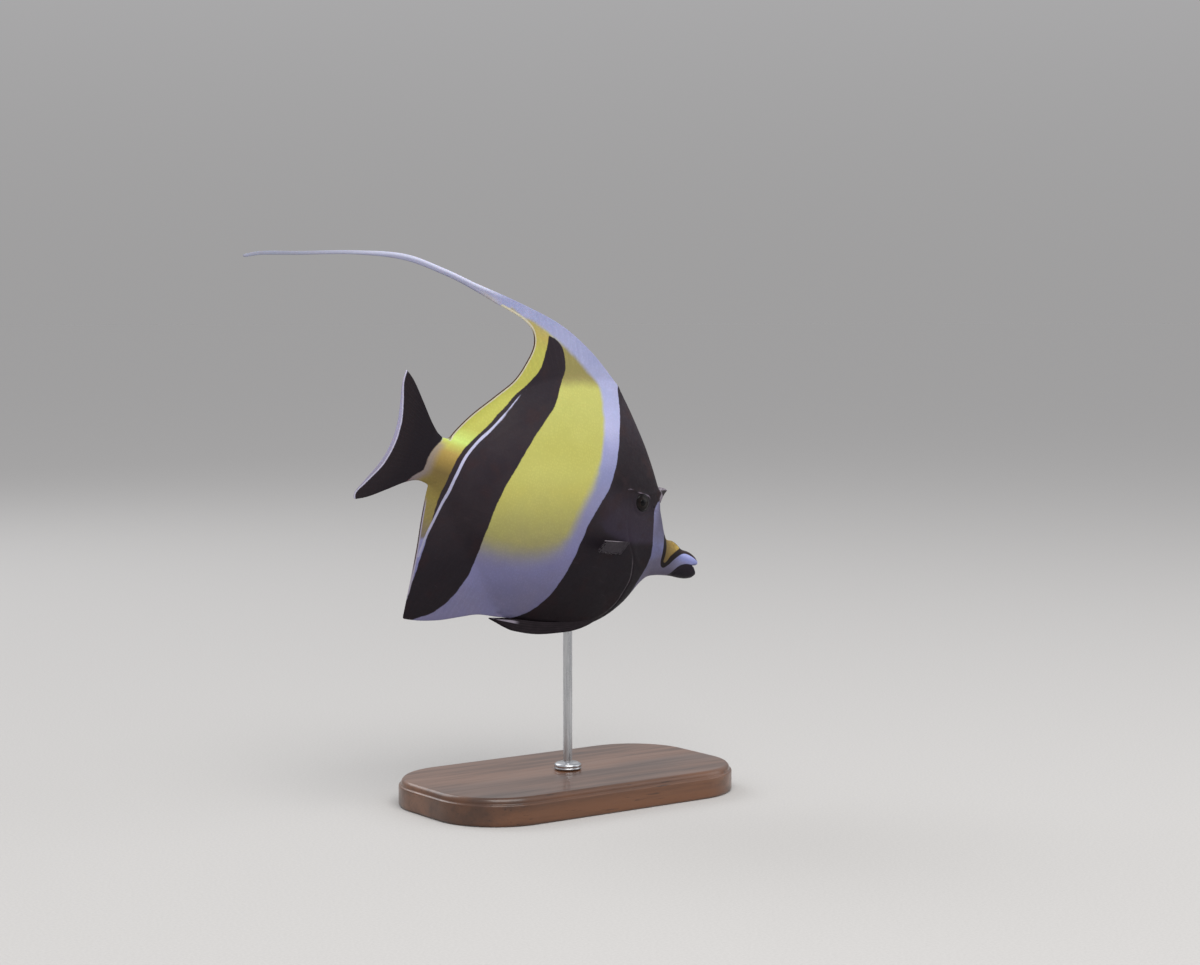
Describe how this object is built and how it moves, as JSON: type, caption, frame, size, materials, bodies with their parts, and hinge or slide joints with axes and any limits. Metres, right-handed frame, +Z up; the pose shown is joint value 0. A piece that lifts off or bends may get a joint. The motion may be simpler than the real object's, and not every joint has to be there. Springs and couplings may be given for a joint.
{
  "type": "moorish idol",
  "caption": "Moorish idol, a tall thin reef fish with a tube snout and a long trailing back-fin filament, posed nose-down on a rod over a flat base.",
  "frame": {"origin": "middle of the underside of the stand's base, straight below the rod", "axes": "+Z up; +X the way the fish faces, along the base's length; +Y to the fish's left"},
  "size_m": [0.2328, 0.084, 0.239],
  "materials": {
    "skin_black": "satin",
    "skin_white": "satin",
    "skin_yellow": "satin",
    "skin_gold": "satin",
    "fin_smoke": "satin",
    "horn": "satin",
    "eye": "gloss",
    "stand_wood": "satin",
    "stand_steel": "satin"
  },
  "bodies": {
    "root": {"head": "skin_black", "snout": "skin_gold", "lower_jaw": "skin_black", "trunk": "skin_yellow", "tail_stem": "skin_yellow", "dorsal_fin": "skin_white", "dorsal_filament": "skin_white", "anal_fin": "skin_black", "caudal_fin": "skin_black", "pectoral_fin_left": "fin_smoke", "pectoral_fin_right": "fin_smoke", "pelvic_fin_left": "skin_black", "pelvic_fin_right": "skin_black", "eye_left": "eye", "eye_right": "eye", "horn_left": "horn", "horn_right": "horn", "stand_base": "stand_wood", "stand_rod": "stand_steel", "stand_collar": "stand_steel"}
  },
  "joints": []
}
